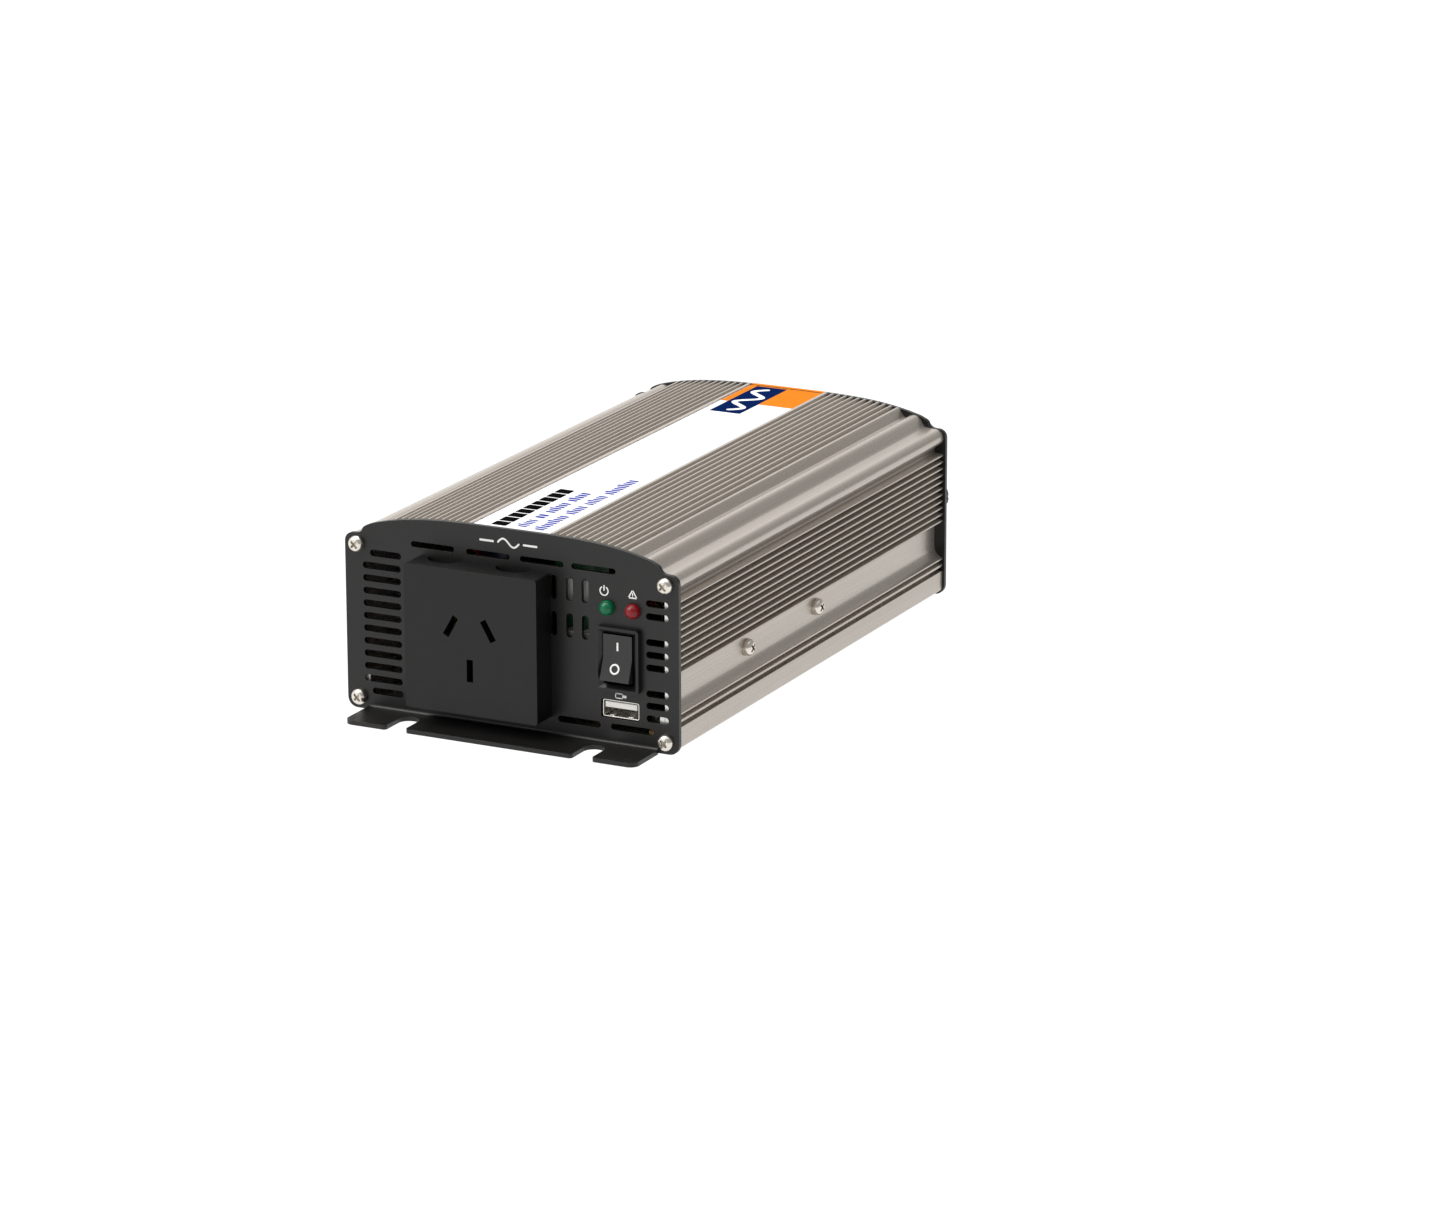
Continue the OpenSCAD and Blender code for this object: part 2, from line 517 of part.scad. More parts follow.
// ---------- fan ----------
module fan_frame() {
  color([0.07, 0.07, 0.07]) {
    difference() {
      prism(fan_y, y2) translate([fan_x, fan_z]) difference() {
        rrect(fan_w, fan_w, 3);
        circle(23.4);
        for (i = [-1, 1], j = [-1, 1]) translate([20 * i, 20 * j]) circle(2.1);
      }
      // the frame is hollow between its two faces outside the air ring
      prism(fan_y + 3.5, y2 - 3.5) translate([fan_x, fan_z]) difference() {
        square([fan_w + 2, fan_w + 2], center = true);
        circle(24.6);
        for (i = [-1, 1], j = [-1, 1]) translate([20 * i, 20 * j]) circle(3.6);
      }
    }
    // motor carrier on four struts
    prism(fan_y, fan_y + 1.6) translate([fan_x, fan_z]) difference() {
      union() {
        circle(12.5);
        for (a = [45:90:315]) rotate(a) translate([11, -1.2]) square([13.4, 2.4]);
      }
      circle(shaft_r + 0.05);
    }
    difference() {
      along_y(3, fan_y + 1, fan_y + 11, fan_x, fan_z);
      along_y(shaft_r + 0.05, fan_y - 1, fan_y + 12, fan_x, fan_z);
    }
  }
}
module fan_stator() {
  color([0.75, 0.45, 0.2]) {
    difference() {
      along_y(9.6, fan_y + 2.6, fan_y + 9.6, fan_x, fan_z);
      along_y(3, fan_y, fan_y + 12, fan_x, fan_z);
      for (a = [0:90:270]) translate([fan_x, fan_y + 5, fan_z]) rotate([0, a + 45, 0]) translate([5, -5, -1.2]) cube([6, 12, 2.4]);
    }
  }
}
module fan_rotor() {
  color([0.1, 0.1, 0.1]) {
    difference() {
      along_y(12, fan_y + 2.4, fan_y + 13.6, fan_x, fan_z);
      along_y(10.6, fan_y + 1, fan_y + 12.2, fan_x, fan_z);
    }
    along_y(shaft_r, fan_y + 0.4, fan_y + 13, fan_x, fan_z);
    intersection() {
      prism(fan_y + 3, fan_y + 13.4) translate([fan_x, fan_z]) difference() { circle(22.5); circle(11.6); }
      for (k = [0:blades - 1]) translate([fan_x, fan_y + 8.2, fan_z]) rotate([0, k * 360 / blades, 0])
        translate([8, 0, 0]) rotate([90, 0, 90]) linear_extrude(18) translate([-12.5, 9.5]) difference() {
          circle(16.4);
          circle(15.2);
          translate([-20, -20]) square([40, 11.5]);
          translate([-20, -20]) square([20, 40]);
          translate([-20, 4]) square([40, 20]);
        }
    }
  }
}
module fan_guard() {
  color([0.8, 0.8, 0.8]) translate([fan_x, case_l, fan_z]) rotate([-90, 0, 0]) {
    for (r = [6.5, 12.2, 17.9, 23.6]) translate([0, 0, 1.9]) rotate_extrude() translate([r, 0]) circle(0.8);
    // spokes welded under the rings, and an eye for each screw
    for (a = [45:90:315]) rotate([0, 0, a]) {
      translate([5.6, 0, 0.72]) rotate([0, 90, 0]) cylinder(r = 0.62, h = 20);
      translate([28.28, 0, 0]) difference() { cylinder(r = 3.6, h = 1.4); translate([0, 0, -1]) cylinder(r = 2.2, h = 5); }
    }
  }
}
module fan_screws() {
  color([0.75, 0.73, 0.7]) for (i = [-1, 1], j = [-1, 1]) translate([fan_x + 20 * i, case_l + 1.4, fan_z + 20 * j]) rotate([0, 0, 180]) pan_screw(2, 3.4, 2.2, 17.5);
}

// ---------- battery terminals ----------
module collar(x) {
  difference() {
    union() {
      along_y(9, case_l, case_l + 3, x, term_z);
      along_y(6.2, y2 - 1.5, case_l + 1, x, term_z);
    }
    along_y(stud_r + 0.1, y2 - 3, case_l + 4, x, term_z);
  }
  difference() {
    along_y(9, y2 - 4, y2 - 1.5, x, term_z);
    along_y(stud_r + 0.1, y2 - 5, y2, x, term_z);
  }
}
module positive_collar() { color([0.7, 0.08, 0.06]) collar(term_x[0]); }
module negative_collar() { color([0.06, 0.06, 0.06]) collar(term_x[1]); }
module terminal_studs() {
  color([0.8, 0.7, 0.4]) for (x = term_x) {
    along_y(stud_r, y2 - 13, case_l + knob_out - 3, x, term_z);
    // square foot that carries the cable lug inside
    translate([x - 6, y2 - 14.4, term_z - 6]) cube([12, 1.4, 12]);
  }
}
module hex_nut(r, bore, h) { difference() { cylinder(r = r, h = h, $fn = 6); translate([0, 0, -1]) cylinder(r = bore, h = h + 2); } }
module stud_nuts() {
  color([0.8, 0.78, 0.72]) for (x = term_x) translate([x, y2 - 4, term_z]) rotate([90, 30, 0]) hex_nut(5.77, stud_r + 0.05, 5);
}
module washer(x) {
  difference() { along_y(7.4, case_l + 3, case_l + 4.4, x, term_z); along_y(stud_r + 0.15, case_l + 2, case_l + 6, x, term_z); }
}
module positive_washer() { color([0.85, 0.82, 0.75]) washer(term_x[0]); }
module negative_washer() { color([0.85, 0.82, 0.75]) washer(term_x[1]); }
module knob(x) {
  difference() {
    translate([x, case_l + 4.4, term_z]) rotate([-90, 0, 0]) rotate_extrude()
      polygon(concat([[0, 0], [knob_r - 0.9, 0], [knob_r - 0.9, 1.2], [knob_r, 2]], [[knob_r, knob_out - 5.6]], arc(knob_r - 1.2, knob_out - 5.6, 1.2, 0, 90, 5), [[0, knob_out - 4.4]]));
    along_y(stud_r + 0.05, case_l + 3, case_l + knob_out - 2.6, x, term_z);
    for (a = [0:20:340]) translate([x, 0, term_z]) rotate([0, a, 0]) along_y(0.75, case_l + 6.8, case_l + knob_out + 1, knob_r + 0.25, 0);
  }
}
module positive_knob() { color([0.72, 0.08, 0.06]) knob(term_x[0]); }
module negative_knob() { color([0.06, 0.06, 0.06]) knob(term_x[1]); }
module earth_stud() {
  color([0.8, 0.7, 0.4]) {
    along_y(1.5, y2 - 8, case_l + 3.8, earth_x, earth_z);
    along_y(2, case_l + 3.7, case_l + 8.5, earth_x, earth_z);
  }
}
module earth_nuts() {
  color([0.8, 0.78, 0.72]) {
    translate([earth_x, case_l, earth_z]) rotate([-90, 30, 0]) hex_nut(4.04, 1.55, 3.2);
    translate([earth_x, y2, earth_z]) rotate([90, 30, 0]) hex_nut(4.04, 1.55, 3.2);
  }
}

// ---------- wiring that the case holds ----------
module red_wires() {
  color([0.75, 0.08, 0.06]) {
    wire([[20, y2 - 14.6, 30], [20, y2 - 20, 29], [22, y2 - 24, 22], [23, y2 - 26, top_z + 4], [23, y2 - 26, top_z + 0.5]], 2.6);
    wire([[-26, 37, top_z + 0.3], [-26, 37, 18], [-25, 34, 36], [-26, 26, 52], [-26, 17, 58.6], [-14, 16, 59.4], [2, 16, 59.4], [9, 21, 58.4], [9, 34, 54], [8, 50, 42], [8, 58, 26], [8, 60, top_z + 4], [8, 60, top_z + 0.3]], 1.3, 4);
    wire([[-47, 182, top_z + 0.2], [-47, 182, 17], [-47, 184, 28], [-45, fan_y - 1, 36]], 0.7);
  }
}
module black_wires() {
  color([0.05, 0.05, 0.05]) {
    wire([[44.9, y2 - 14.6, 30], [44.9, y2 - 20, 29], [41, y2 - 24, 22], [38, y2 - 26, top_z + 4], [38, y2 - 26, top_z + 0.5]], 2.6);
    wire([[-50, 182, top_z + 0.2], [-50, 182, 17], [-50, 184, 30], [-47, fan_y - 1, 40]], 0.7);
    for (i = [0, 1]) {
      wire([[led_x[i] - 1.27, 15.2, led_z], [led_x[i] - 1.6, 22, 44 - i], [led_x[i] - 2, 24 + i, 30], [led_x[i] - 2, 24 + i, 13], [led_x[i] - 2, 24 + i, 10.3]], 0.6);
      wire([[led_x[i] + 1.27, 15.2, led_z], [led_x[i] + 1.4, 22, 44 - i], [led_x[i] + 1.2, 24 + i, 30], [led_x[i] + 1.2, 24 + i, 13], [led_x[i] + 1.2, 24 + i, 10.3]], 0.6);
    }
  }
}
module active_wire() {
  color([0.4, 0.2, 0.08]) wire([[pin_cx + 9.4, 21.6, 38], [4, 25, 38], [8, 32, 34], [10, 40, 22], [9, 43, top_z + 3], [9, 43, top_z + 0.3]], 1.4);
}
module neutral_wire() {
  color([0.1, 0.25, 0.6]) wire([[pin_cx - 9.4, 21.6, 38], [-21, 25, 38], [-21, 29, 30], [-14, 38, 20], [-11, 42, top_z + 3], [-11, 42, top_z + 0.3]], 1.4);
}
module earth_wire() {
  color([0.3, 0.6, 0.15]) wire([[pin_cx, 21.6, 20], [pin_cx, 25, 20], [-6, 30, 18], [0, 37, 16.5], [1, 41, top_z + 2.6], [1, 41, top_z + 0.3]], 1.4);
}

place() finned_cover();
place() base_tray();
place() front_panel();
place() rear_panel();
place() front_panel_screws();
place() rear_panel_screws();
place() side_screws();
place() top_label();
place() outlet_body();
place() outlet_back();
place() line_contacts();
place() earth_contact();
place() switch_bezel();
place() switch_rocker();
place() switch_tabs();
place() power_led();
place() fault_led();
place() usb_shell();
place() usb_tongue();
place() control_board();
place() main_board();
place() board_standoffs();
place() board_screws();
place() insulation_sheet();
place() transformer_cores();
place() transformer_windings();
place() transformer_bobbins();
place() choke_core();
place() choke_winding();
place() input_capacitors();
place() bus_capacitor();
place() transistor_packages();
place() transistor_tabs();
place() clamp_bars();
place() thermal_pads();
place() driver_card();
place() driver_chips();
place() white_connectors();
place() blade_fuses();
place() buzzer();
place() fan_frame();
place() fan_stator();
place() fan_rotor();
place() fan_guard();
place() fan_screws();
place() positive_collar();
place() negative_collar();
place() terminal_studs();
place() stud_nuts();
place() positive_washer();
place() negative_washer();
place() positive_knob();
place() negative_knob();
place() earth_stud();
place() earth_nuts();
place() red_wires();
place() black_wires();
place() active_wire();
place() neutral_wire();
place() earth_wire();
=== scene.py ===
import json
import math

import bmesh
import bpy
from mathutils import Matrix, Vector


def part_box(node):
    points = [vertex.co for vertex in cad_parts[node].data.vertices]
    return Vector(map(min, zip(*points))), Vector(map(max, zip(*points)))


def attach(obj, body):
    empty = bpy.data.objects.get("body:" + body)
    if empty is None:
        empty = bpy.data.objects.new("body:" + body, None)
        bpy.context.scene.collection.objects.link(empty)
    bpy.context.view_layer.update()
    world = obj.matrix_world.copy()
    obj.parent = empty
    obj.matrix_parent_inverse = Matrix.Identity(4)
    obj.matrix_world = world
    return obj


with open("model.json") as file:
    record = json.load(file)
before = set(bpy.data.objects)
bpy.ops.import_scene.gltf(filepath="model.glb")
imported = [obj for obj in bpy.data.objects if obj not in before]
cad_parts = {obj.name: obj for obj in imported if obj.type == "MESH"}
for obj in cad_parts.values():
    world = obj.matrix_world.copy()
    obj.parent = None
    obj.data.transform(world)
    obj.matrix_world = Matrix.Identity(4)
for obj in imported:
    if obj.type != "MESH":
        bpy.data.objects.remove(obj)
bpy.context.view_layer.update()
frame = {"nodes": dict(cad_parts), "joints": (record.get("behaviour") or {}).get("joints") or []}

nodes = frame["nodes"]
scene = bpy.context.scene
scene.view_settings.view_transform = "Standard"
scene.cycles.use_denoising = True
MM = 0.001

# ------------------------------------------------------------------ places
panel_lo, panel_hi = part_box("front_panel")
FACE_Y = panel_hi.y - 1.5 * MM          # outer face of the outlet panel
rear_lo, rear_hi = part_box("rear_panel")
REAR_Y = rear_lo.y + 1.5 * MM           # outer face of the terminal panel
label_lo, label_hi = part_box("top_label")
rocker_joint = [j for j in frame["joints"] if j["name"] == "rocker_tilt"][0]
PIVOT = Vector(rocker_joint["pos_m"])


def centre(node):
    lo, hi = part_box(node)
    return (lo + hi) / 2


# ------------------------------------------------------------------ camera
az, el, roll = math.radians(26.66), math.radians(16.54), math.radians(-0.13)
back = Vector((math.sin(az) * math.cos(el), -math.cos(az) * math.cos(el), math.sin(el)))
right = (-back).cross(Vector((0, 0, 1))).normalized()
up = right.cross(-back)
cx = math.cos(roll) * right + math.sin(roll) * up
cy = -math.sin(roll) * right + math.cos(roll) * up
cam_data = bpy.data.cameras.new("camera")
cam_data.lens = 143.71
cam_data.sensor_width = 36.0
cam_data.clip_start, cam_data.clip_end = 0.05, 40.0
cam = bpy.data.objects.new("camera", cam_data)
scene.collection.objects.link(cam)
cam.matrix_world = Matrix(((cx.x, cy.x, back.x, 0.8540), (cx.y, cy.y, back.y, -1.6580), (cx.z, cy.z, back.z, 0.5651), (0, 0, 0, 1)))
scene.camera = cam


# ------------------------------------------------------------------ material tools
class Mat:
    """One node material with a few shortcuts for building its pattern."""

    def __init__(self, name, rough=0.5, metal=0.0, spec=0.5):
        self.m = bpy.data.materials.new(name)
        self.m.use_nodes = True
        self.nt = self.m.node_tree
        self.nt.nodes.clear()
        self.out = self.nt.nodes.new("ShaderNodeOutputMaterial")
        self.b = self.nt.nodes.new("ShaderNodeBsdfPrincipled")
        self.nt.links.new(self.b.outputs[0], self.out.inputs["Surface"])
        self.b.inputs["Metallic"].default_value = metal
        self.b.inputs["Roughness"].default_value = rough
        self.b.inputs["Specular IOR Level"].default_value = spec
        self.co = self.nt.nodes.new("ShaderNodeTexCoord").outputs["Object"]

    def node(self, kind, **values):
        n = self.nt.nodes.new(kind)
        for k, v in values.items():
            setattr(n, k, v)
        return n

    def link(self, a, b):
        self.nt.links.new(a, b)

    def space(self, scale=(1, 1, 1), rot=(0, 0, 0)):
        n = self.node("ShaderNodeMapping")
        n.inputs["Scale"].default_value = scale
        n.inputs["Rotation"].default_value = rot
        self.link(self.co, n.inputs["Vector"])
        return n.outputs["Vector"]

    def noise(self, scale, stretch=(1, 1, 1), detail=3.0, rough=0.55):
        n = self.node("ShaderNodeTexNoise")
        n.inputs["Scale"].default_value = 1.0
        n.inputs["Detail"].default_value = detail
        n.inputs["Roughness"].default_value = rough
        self.link(self.space(tuple(scale * s for s in stretch)), n.inputs["Vector"])
        return n.outputs["Fac"]

    def spread(self, fac, lo, hi, low=0.3, high=0.7):
        n = self.node("ShaderNodeMapRange")
        self.link(fac, n.inputs["Value"])
        for i, v in ((1, low), (2, high), (3, lo), (4, hi)):
            n.inputs[i].default_value = v
        return n.outputs["Result"]

    def mix(self, fac, a, b, blend="MIX"):
        n = self.node("ShaderNodeMix", data_type="RGBA", blend_type=blend)
        for socket, v in ((n.inputs["Factor"], fac), (n.inputs[6], a), (n.inputs[7], b)):
            if isinstance(v, bpy.types.NodeSocket):
                self.link(v, socket)
            elif socket.type == "VALUE":
                socket.default_value = v
            else:
                socket.default_value = (*v[:3], 1.0)
        return n.outputs[2]

    def math(self, op, a, b=0.0, c=None):
        n = self.node("ShaderNodeMath", operation=op)
        for i, v in enumerate((a, b) if c is None else (a, b, c)):
            if isinstance(v, bpy.types.NodeSocket):
                self.link(v, n.inputs[i])
            else:
                n.inputs[i].default_value = v
        return n.outputs[0]

    def bump(self, height, mm, before=None):
        n = self.node("ShaderNodeBump")
        n.inputs["Strength"].default_value = 1.0
        n.inputs["Distance"].default_value = mm * MM
        self.link(height, n.inputs["Height"])
        if before is not None:
            self.link(before, n.inputs["Normal"])
        return n.outputs["Normal"]

    def colour(self, value):
        if isinstance(value, bpy.types.NodeSocket):
            self.link(value, self.b.inputs["Base Color"])
        else:
            self.b.inputs["Base Color"].default_value = (*value[:3], 1.0)

    def rough(self, value):
        self.link(value, self.b.inputs["Roughness"])

    def normal(self, value):
        self.link(value, self.b.inputs["Normal"])

    def facing(self, axis):
        """How much the face looks along an axis, whichever way."""
        g = self.node("ShaderNodeNewGeometry")
        s = self.node("ShaderNodeSeparateXYZ")
        self.link(g.outputs["True Normal"], s.inputs[0])
        return self.math("ABSOLUTE", s.outputs[axis])

    def edges(self, radius_mm):
        """About 1 on a convex edge and 0 on a flat face."""
        bevel = self.node("ShaderNodeBevel", samples=4)
        bevel.inputs["Radius"].default_value = radius_mm * MM
        g = self.node("ShaderNodeNewGeometry")
        d = self.node("ShaderNodeVectorMath", operation="DOT_PRODUCT")
        self.link(bevel.outputs[0], d.inputs[0])
        self.link(g.outputs["Normal"], d.inputs[1])
        return self.spread(self.math("SUBTRACT", 1.0, d.outputs["Value"]), 0.0, 1.0, 0.01, 0.12)


def shade(c, k):
    return tuple(min(1.0, v * k) for v in c)


def plain(name, colour, rough, metal=0.0, vary=0.08, rough_vary=0.06, scale=260.0, bump_mm=0.012, bump_scale=1800.0, stretch=(1, 1, 1), spec=0.5, coat=0.0, coat_rough=0.1):
    m = Mat(name, rough, metal, spec)
    tint = m.noise(scale, stretch)
    m.colour(m.mix(m.spread(tint, 0.0, 1.0), shade(colour, 1 - vary), shade(colour, 1 + vary)))
    m.rough(m.spread(m.noise(scale * 2.3, stretch), max(0.02, rough - rough_vary), min(1.0, rough + rough_vary)))
    if bump_mm:
        m.normal(m.bump(m.noise(bump_scale, stretch, 4.0), bump_mm))
    if coat:
        m.b.inputs["Coat Weight"].default_value = coat
        m.b.inputs["Coat Roughness"].default_value = coat_rough
    return m


M = {}

# anodised extrusion: drawn lines along its length, blasted grain, bare metal where it was sawn
m = Mat("anodised_case", 0.4, 0.72)
lines = m.noise(1.0, (2600, 9, 2600), 3.0)
broad = m.noise(1.0, (240, 4, 240), 2.0)
grain = m.noise(4200.0, detail=2.0)
case = (0.50, 0.455, 0.405)
tone = m.mix(m.spread(lines, 0.0, 1.0), shade(case, 0.94), shade(case, 1.06))
tone = m.mix(m.spread(broad, 0.0, 1.0), tone, m.mix(1.0, tone, (0.93, 0.925, 0.92), "MULTIPLY"))
sawn = m.math("GREATER_THAN", m.facing(1), 0.9)
m.colour(m.mix(sawn, tone, (0.83, 0.82, 0.8)))
m.rough(m.mix(sawn, m.spread(grain, 0.25, 0.35), (0.3, 0.3, 0.3)))
m.normal(m.bump(grain, 0.006, m.bump(lines, 0.004)))
M["anodised_case"] = m

# powder-coated sheet steel, with a painted highlight: paler grey on its convex edges, in noisy patches
m = Mat("panel_black", 0.4, 0.0, 0.42)
peel = m.noise(1500.0, detail=3.0)
cloud = m.noise(60.0, detail=3.0)
black = m.mix(m.spread(cloud, 0.0, 1.0), (0.0048, 0.0042, 0.0040), (0.0066, 0.0059, 0.0056))
# painted highlight: convex edges lightened towards pale grey where light would catch them, broken up by noise
edge_highlight = m.math("MULTIPLY", m.edges(0.35), m.spread(m.noise(420.0, detail=4.0), 0.0, 0.55, 0.45, 0.75))
m.colour(m.mix(edge_highlight, black, (0.085, 0.082, 0.078)))
m.rough(m.spread(peel, 0.32, 0.46))
m.normal(m.bump(peel, 0.02))
M["panel_black"] = m

M["nickel_screw"] = plain("nickel_screw", (0.74, 0.70, 0.63), 0.24, 1.0, 0.06, 0.08, 700.0, 0.01, 2500.0)
M["outlet_plastic"] = plain("outlet_plastic", (0.0020, 0.0019, 0.0018), 0.42, 0.0, 0.07, 0.05, 90.0, 0.014, 2200.0, spec=0.36)
M["contact_brass"] = plain("contact_brass", (0.72, 0.53, 0.25), 0.28, 1.0, 0.08, 0.08, 500.0)
M["switch_black"] = plain("switch_black", (0.004, 0.0038, 0.0037), 0.36, 0.0, 0.07, 0.05, 160.0, 0.008, 2600.0, spec=0.42)
M["rocker_black"] = plain("rocker_black", (0.013, 0.0125, 0.0122), 0.33, 0.0, 0.07, 0.05, 160.0, 0.008, 2600.0)
M["tinned_metal"] = plain("tinned_metal", (0.70, 0.68, 0.64), 0.25, 1.0, 0.07, 0.1, 500.0)
M["white_plastic"] = plain("white_plastic", (0.80, 0.79, 0.75), 0.35, 0.0, 0.03, 0.05, 200.0)
M["insulating_film"] = plain("insulating_film", (0.035, 0.034, 0.031), 0.45, 0.0, 0.05)
M["ferrite"] = plain("ferrite", (0.045, 0.045, 0.048), 0.55, 0.0, 0.2, 0.1, 900.0, 0.05, 1400.0)
M["black_moulding"] = plain("black_moulding", (0.016, 0.0155, 0.015), 0.45, 0.0, 0.08, 0.08, 220.0)
M["iron_powder"] = plain("iron_powder", (0.62, 0.53, 0.10), 0.45, 0.0, 0.07, 0.1, 500.0)
M["capacitor_sleeve"] = plain("capacitor_sleeve", (0.02, 0.03, 0.09), 0.3, 0.0, 0.08, 0.05, 120.0)
M["bare_aluminium"] = plain("bare_aluminium", (0.80, 0.80, 0.80), 0.32, 1.0, 0.05, 0.08, 300.0, 0.01, 2000.0, (1, 0.05, 1))
M["thermal_rubber"] = plain("thermal_rubber", (0.45, 0.46, 0.52), 0.7, 0.0, 0.05)
M["fuse_amber"] = plain("fuse_amber", (0.80, 0.23, 0.02), 0.2, 0.0, 0.06, 0.04, 200.0)
M["guard_wire"] = plain("guard_wire", (0.72, 0.71, 0.69), 0.22, 1.0, 0.05, 0.08, 600.0)
M["terminal_red"] = plain("terminal_red", (0.50, 0.016, 0.012), 0.35, 0.0, 0.08, 0.06, 200.0, 0.012, 2400.0)
M["terminal_black"] = plain("terminal_black", (0.014, 0.0135, 0.013), 0.38, 0.0, 0.08, 0.06, 200.0, 0.012, 2400.0)
M["plated_nut"] = plain("plated_nut", (0.70, 0.67, 0.58), 0.27, 1.0, 0.07, 0.08, 600.0)
M["wire_red"] = plain("wire_red", (0.48, 0.02, 0.015), 0.4, 0.0, 0.07)
M["wire_black"] = plain("wire_black", (0.012, 0.012, 0.012), 0.4, 0.0, 0.07)
M["wire_brown"] = plain("wire_brown", (0.16, 0.055, 0.02), 0.4, 0.0, 0.07)
M["wire_blue"] = plain("wire_blue", (0.02, 0.08, 0.36), 0.4, 0.0, 0.07)
M["wire_green"] = plain("wire_green", (0.10, 0.32, 0.04), 0.4, 0.0, 0.07)
M["label_print"] = plain("label_print", (0.86, 0.86, 0.86), 0.36, 0.0, 0.012, 0.04, 70.0, 0.006, 500.0, coat=0.25, coat_rough=0.15)


def lamp(name, colour):
    m = Mat(name, 0.12, 0.0, 0.3)
    m.colour(m.mix(m.spread(m.noise(350.0), 0.0, 1.0), shade(colour, 0.88), shade(colour, 1.12)))
    m.rough(m.spread(m.noise(700.0), 0.07, 0.18))
    m.b.inputs["Transmission Weight"].default_value = 0.12
    m.b.inputs["IOR"].default_value = 1.5
    m.b.inputs["Coat Weight"].default_value = 0.1
    m.b.inputs["Coat Roughness"].default_value = 0.06
    return m


M["lamp_green"] = lamp("lamp_green", (0.0, 0.125, 0.048))
M["lamp_red"] = lamp("lamp_red", (0.215, 0.006, 0.010))

# green circuit board with its tracks under the solder mask
m = Mat("board_green", 0.35)
brick = m.node("ShaderNodeTexBrick", offset=0.37, squash=0.7)
brick.inputs["Scale"].default_value = 1.0
brick.inputs["Mortar Size"].default_value = 0.05
brick.inputs["Brick Width"].default_value = 1.1
brick.inputs["Row Height"].default_value = 0.4
brick.inputs["Color1"].default_value = (0.006, 0.030, 0.012, 1)
brick.inputs["Color2"].default_value = (0.008, 0.042, 0.016, 1)
brick.inputs["Mortar"].default_value = (0.014, 0.08, 0.03, 1)
m.link(m.space((210, 210, 210)), brick.inputs["Vector"])
m.colour(m.mix(m.spread(m.noise(220.0), 0.0, 0.4), brick.outputs["Color"], (0.005, 0.026, 0.011)))
m.rough(m.spread(m.noise(600.0), 0.28, 0.42))
m.normal(m.bump(brick.outputs["Fac"], 0.03))
M["board_green"] = m


def turns(name, colour, pitch_mm, metal, axis, rough):
    """Wound wire or tape: a groove for each turn along an axis, with painted shade darkening each groove."""
    m = Mat(name, rough, metal)
    w = m.node("ShaderNodeTexWave", wave_type="BANDS", bands_direction=axis, wave_profile="SIN")
    w.inputs["Scale"].default_value = 1.0
    w.inputs["Distortion"].default_value = 0.6
    w.inputs["Detail"].default_value = 1.0
    k = 0.314 / (pitch_mm * MM)
    m.link(m.space((k, k, k)), w.inputs["Vector"])
    # painted shade: colour darkens into the groove between turns, on the same bands as the bump
    m.colour(m.mix(w.outputs["Fac"], shade(colour, 0.55), shade(colour, 1.1)))
    m.rough(m.spread(m.noise(500.0), rough - 0.06, rough + 0.08))
    m.normal(m.bump(w.outputs["Fac"], 0.12))
    return m


M["winding_tape"] = turns("winding_tape", (0.62, 0.47, 0.08), 5.0, 0.0, "Z", 0.35)
M["enamelled_copper"] = turns("enamelled_copper", (0.60, 0.24, 0.09), 0.9, 1.0, "X", 0.3)

SLOTS = {
    "anodised_case": "finned_cover base_tray",
    "panel_black": "front_panel rear_panel",
    "nickel_screw": "front_panel_screws rear_panel_screws side_screws board_screws fan_screws",
    "label_print": "top_label",
    "outlet_plastic": "outlet_body outlet_back",
    "contact_brass": "line_contacts earth_contact terminal_studs earth_stud board_standoffs",
    "switch_black": "switch_bezel",
    "rocker_black": "switch_rocker",
    "tinned_metal": "switch_tabs transistor_tabs usb_shell",
    "lamp_green": "power_led",
    "lamp_red": "fault_led",
    "white_plastic": "usb_tongue white_connectors",
    "board_green": "control_board main_board driver_card",
    "insulating_film": "insulation_sheet",
    "ferrite": "transformer_cores",
    "winding_tape": "transformer_windings",
    "black_moulding": "transformer_bobbins transistor_packages driver_chips buzzer fan_frame fan_rotor",
    "iron_powder": "choke_core",
    "enamelled_copper": "choke_winding fan_stator",
    "capacitor_sleeve": "input_capacitors bus_capacitor",
    "bare_aluminium": "clamp_bars",
    "thermal_rubber": "thermal_pads",
    "fuse_amber": "blade_fuses",
    "guard_wire": "fan_guard",
    "terminal_red": "positive_collar positive_knob",
    "terminal_black": "negative_collar negative_knob",
    "plated_nut": "stud_nuts earth_nuts positive_washer negative_washer",
    "wire_red": "red_wires",
    "wire_black": "black_wires",
    "wire_brown": "active_wire",
    "wire_blue": "neutral_wire",
    "wire_green": "earth_wire",
}
for slot, names in SLOTS.items():
    for n in names.split():
        o = nodes[n]
        o.data.materials.clear()
        o.data.materials.append(M[slot].m)
        for p in o.data.polygons:
            p.material_index = 0

